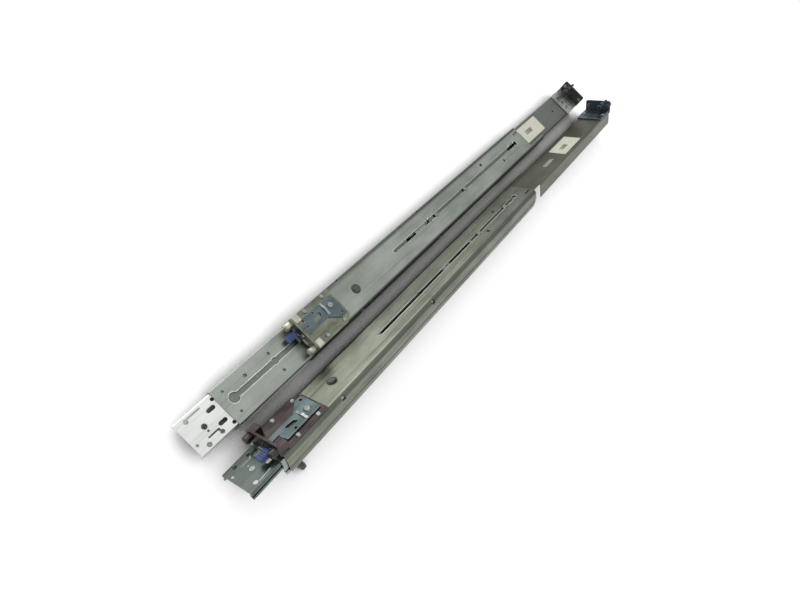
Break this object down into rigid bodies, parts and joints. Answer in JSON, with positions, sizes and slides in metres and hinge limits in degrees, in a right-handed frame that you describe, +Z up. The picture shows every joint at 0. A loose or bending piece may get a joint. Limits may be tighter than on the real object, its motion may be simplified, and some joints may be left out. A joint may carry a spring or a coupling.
{
  "type": "sliding server rail pair",
  "caption": "Pair of telescoping ball-bearing server slide rails with pegged front and rear rack brackets, a sprung front latch and a sprung rear plunger.",
  "frame": {"origin": "on the floor under the middle of the pair's bounding box", "axes": "+X from the front flanges to the rear flanges along the rails, +Y towards the flat rail, +Z up"},
  "size_m": [0.837, 0.1104, 0.0532],
  "materials": {
    "zinc": "zinc plated sheet steel, satin",
    "zinc_grey": "zinc plated sheet steel, satin",
    "zinc_bright": "bright zinc plated, semi-gloss",
    "black_steel": "black powder coat, satin",
    "spring_steel": "bare steel",
    "ball_steel": "polished",
    "blue_plastic": "fine texture",
    "grip_plastic": "fine texture",
    "bumper": "matte"
  },
  "bodies": {
    "rails": {"left_outer_channel": "zinc", "left_stop_bumpers": "bumper", "left_front_bracket": "zinc_grey", "left_front_pegs": "zinc", "left_bracket_rivets": "zinc", "left_latch_pivot": "zinc", "right_outer_channel": "zinc", "right_stop_bumpers": "bumper", "right_front_bracket": "zinc_grey", "right_front_pegs": "zinc", "right_bracket_rivets": "zinc", "right_latch_pivot": "zinc"},
    "left_latch": {"left_front_latch": "zinc", "left_latch_spring": "spring_steel", "left_release_tab": "blue_plastic"},
    "left_middle": {"left_middle_channel": "zinc_grey"},
    "left_inner": {"left_inner_channel": "zinc_bright", "left_lever_pin": "spring_steel"},
    "left_outer_race": {"left_outer_cage": "spring_steel", "left_outer_balls": "ball_steel"},
    "left_inner_race": {"left_inner_cage": "spring_steel", "left_inner_balls": "ball_steel"},
    "left_lever": {"left_side_lever": "zinc_grey", "left_lever_grip": "grip_plastic"},
    "left_rear": {"left_rear_slide": "zinc", "left_rear_guides": "zinc", "left_rear_end_plate": "zinc_bright", "left_rear_rivets": "zinc", "left_rear_bracket": "black_steel", "left_rear_pegs": "zinc"},
    "left_plunger": {"left_rear_plunger": "black_steel"},
    "right_latch": {"right_front_latch": "zinc", "right_latch_spring": "spring_steel", "right_release_tab": "blue_plastic"},
    "right_middle": {"right_middle_channel": "zinc_grey"},
    "right_inner": {"right_inner_channel": "zinc_bright", "right_lever_pin": "spring_steel"},
    "right_outer_race": {"right_outer_cage": "spring_steel", "right_outer_balls": "ball_steel"},
    "right_inner_race": {"right_inner_cage": "spring_steel", "right_inner_balls": "ball_steel"},
    "right_lever": {"right_side_lever": "zinc_grey", "right_lever_grip": "grip_plastic"},
    "right_rear": {"right_rear_slide": "zinc", "right_rear_guides": "zinc", "right_rear_end_plate": "zinc_bright", "right_rear_rivets": "zinc", "right_rear_bracket": "black_steel", "right_rear_pegs": "zinc"},
    "right_plunger": {"right_rear_plunger": "black_steel"}
  },
  "joints": [
    {"name": "left_middle_slide", "type": "slide", "parent": "rails", "child": "left_middle", "axis": [-1, 0, 0], "range_m": [-0.104, 0.136]},
    {"name": "left_inner_slide", "type": "slide", "parent": "left_middle", "child": "left_inner", "axis": [-1, 0, 0], "range_m": [-0.02, 0.22]},
    {"name": "left_outer_race_slide", "type": "slide", "parent": "rails", "child": "left_outer_race", "axis": [-1, 0, 0], "range_m": [-0.052, 0.068]},
    {"name": "left_inner_race_slide", "type": "slide", "parent": "left_middle", "child": "left_inner_race", "axis": [-1, 0, 0], "range_m": [-0.01, 0.11]},
    {"name": "left_depth_slide", "type": "slide", "parent": "rails", "child": "left_rear", "axis": [1, 0, 0], "range_m": [-0.02, 0.138]},
    {"name": "left_plunger_slide", "type": "slide", "parent": "left_rear", "child": "left_plunger", "axis": [-1, 0, 0], "range_m": [0, 0.006], "stiffness_N_per_m": 300},
    {"name": "left_latch_hinge", "type": "hinge", "parent": "rails", "child": "left_latch", "pos_m": [-0.2335, 0.03804, 0.02435], "axis": [0, 0, 1], "range_deg": [0, 3.5], "stiffness_Nm_per_rad": 2},
    {"name": "left_lever_hinge", "type": "hinge", "parent": "left_inner", "child": "left_lever", "pos_m": [-0.3685, 0.04154, 0.0133], "axis": [0, 1, 0], "range_deg": [0, 85]},
    {"name": "right_middle_slide", "type": "slide", "parent": "rails", "child": "right_middle", "axis": [-1, 0, 0], "range_m": [-0.01, 0.23]},
    {"name": "right_inner_slide", "type": "slide", "parent": "right_middle", "child": "right_inner", "axis": [-1, 0, 0], "range_m": [-0.014, 0.226]},
    {"name": "right_outer_race_slide", "type": "slide", "parent": "rails", "child": "right_outer_race", "axis": [-1, 0, 0], "range_m": [-0.005, 0.115]},
    {"name": "right_inner_race_slide", "type": "slide", "parent": "right_middle", "child": "right_inner_race", "axis": [-1, 0, 0], "range_m": [-0.007, 0.113]},
    {"name": "right_depth_slide", "type": "slide", "parent": "rails", "child": "right_rear", "axis": [1, 0, 0], "range_m": [-0.138, 0.02]},
    {"name": "right_plunger_slide", "type": "slide", "parent": "right_rear", "child": "right_plunger", "axis": [-1, 0, 0], "range_m": [0, 0.006], "stiffness_N_per_m": 300},
    {"name": "right_latch_hinge", "type": "hinge", "parent": "rails", "child": "right_latch", "pos_m": [-0.3325, -0.01864, 0.03528], "axis": [0, -0.6691, -0.7431], "range_deg": [0, 3.5], "stiffness_Nm_per_rad": 2},
    {"name": "right_lever_hinge", "type": "hinge", "parent": "right_inner", "child": "right_lever", "pos_m": [-0.3675, -0.02863, 0.02942], "axis": [0, 0.7431, -0.6691], "range_deg": [-80, 5]}
  ],
  "couplings": [
    {"joint": "left_outer_race_slide", "follows": "left_middle_slide", "ratio": 0.5},
    {"joint": "left_inner_race_slide", "follows": "left_inner_slide", "ratio": 0.5},
    {"joint": "right_outer_race_slide", "follows": "right_middle_slide", "ratio": 0.5},
    {"joint": "right_inner_race_slide", "follows": "right_inner_slide", "ratio": 0.5}
  ]
}
